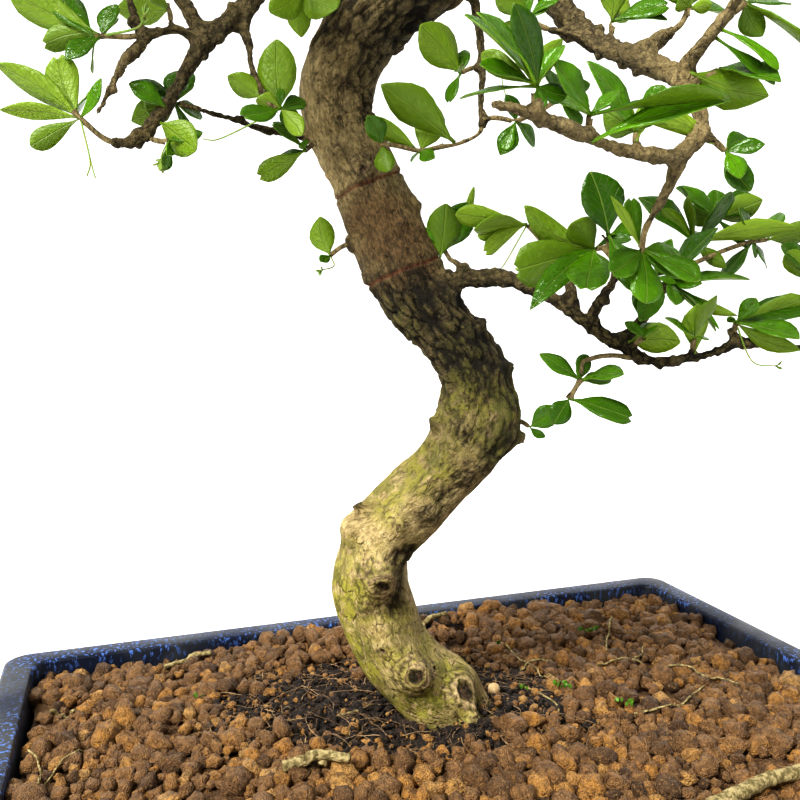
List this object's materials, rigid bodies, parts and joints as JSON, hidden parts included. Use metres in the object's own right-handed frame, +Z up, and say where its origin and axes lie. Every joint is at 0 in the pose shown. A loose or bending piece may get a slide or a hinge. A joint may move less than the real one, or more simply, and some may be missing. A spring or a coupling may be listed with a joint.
{
  "type": "fukien tea bonsai in a pot",
  "caption": "Bonsai tree with a curved trunk and glossy spoon-shaped leaves, standing in soil in an oblong glazed pot.",
  "frame": {"origin": "on the ground under the middle of the whole part's box", "axes": "+Z up, +X along the pot's long side to the right of the show side, +Y away from the show side"},
  "size_m": [0.421, 0.3624, 0.5763],
  "materials": {
    "glaze": "glossy slate blue glaze with brighter blue flecks",
    "akadama": "matt porous baked clay grains, brown and orange",
    "peat": "damp dark peat with fine roots",
    "mesh": "black moulded netting",
    "bark": "rough fissured bark, tan to brown with green algae",
    "leaf": "waxy glossy green leaves"
  },
  "bodies": {
    "root": {"pot": "glaze", "akadama_soil": "akadama", "root_ball": "peat", "drain_mesh_left": "mesh", "drain_mesh_right": "mesh", "trunk": "bark", "spray_left_upper": "leaf", "spray_left_lower": "leaf", "spray_left_drop": "leaf", "spray_left_inner": "leaf", "spray_left_mid": "leaf", "spray_left_centre": "leaf", "spray_left_base": "leaf", "spray_left_hang": "leaf", "spray_trunk_leaf": "leaf", "spray_centre": "leaf", "spray_centre_left": "leaf", "spray_centre_right": "leaf", "spray_front_left": "leaf", "spray_front_hero": "leaf", "spray_front_mid": "leaf", "spray_front_bulge": "leaf", "spray_upper_right": "leaf", "spray_upper_high": "leaf", "spray_stub_left": "leaf", "spray_limb_top": "leaf", "spray_stub_right": "leaf", "spray_low_inner": "leaf", "spray_low_pale": "leaf", "spray_low_dark": "leaf", "spray_front_drop": "leaf", "spray_low_middle": "leaf", "spray_low_high": "leaf", "spray_low_twig": "leaf", "spray_branch_middle": "leaf", "spray_branch_inner": "leaf", "spray_branch_upper": "leaf", "spray_branch_far": "leaf", "spray_branch_tip": "leaf", "spray_low_hanging": "leaf", "spray_knuckle_leaf": "leaf", "spray_crown_right_tip": "leaf", "spray_crown_right_top": "leaf", "spray_crown_left_tip": "leaf", "spray_crown_left_top": "leaf", "spray_crown_back_tip": "leaf", "spray_crown_back_left": "leaf", "spray_crown_front": "leaf", "spray_crown_apex_left": "leaf", "spray_crown_apex_right": "leaf", "spray_crown_rear": "leaf", "spray_crown_rear_right": "leaf", "spray_crown_rear_left": "leaf", "spray_crown_front_left": "leaf", "spray_crown_front_right": "leaf", "spray_crown_side_left": "leaf", "spray_crown_low_left": "leaf", "spray_crown_low_right": "leaf"}
  },
  "joints": []
}
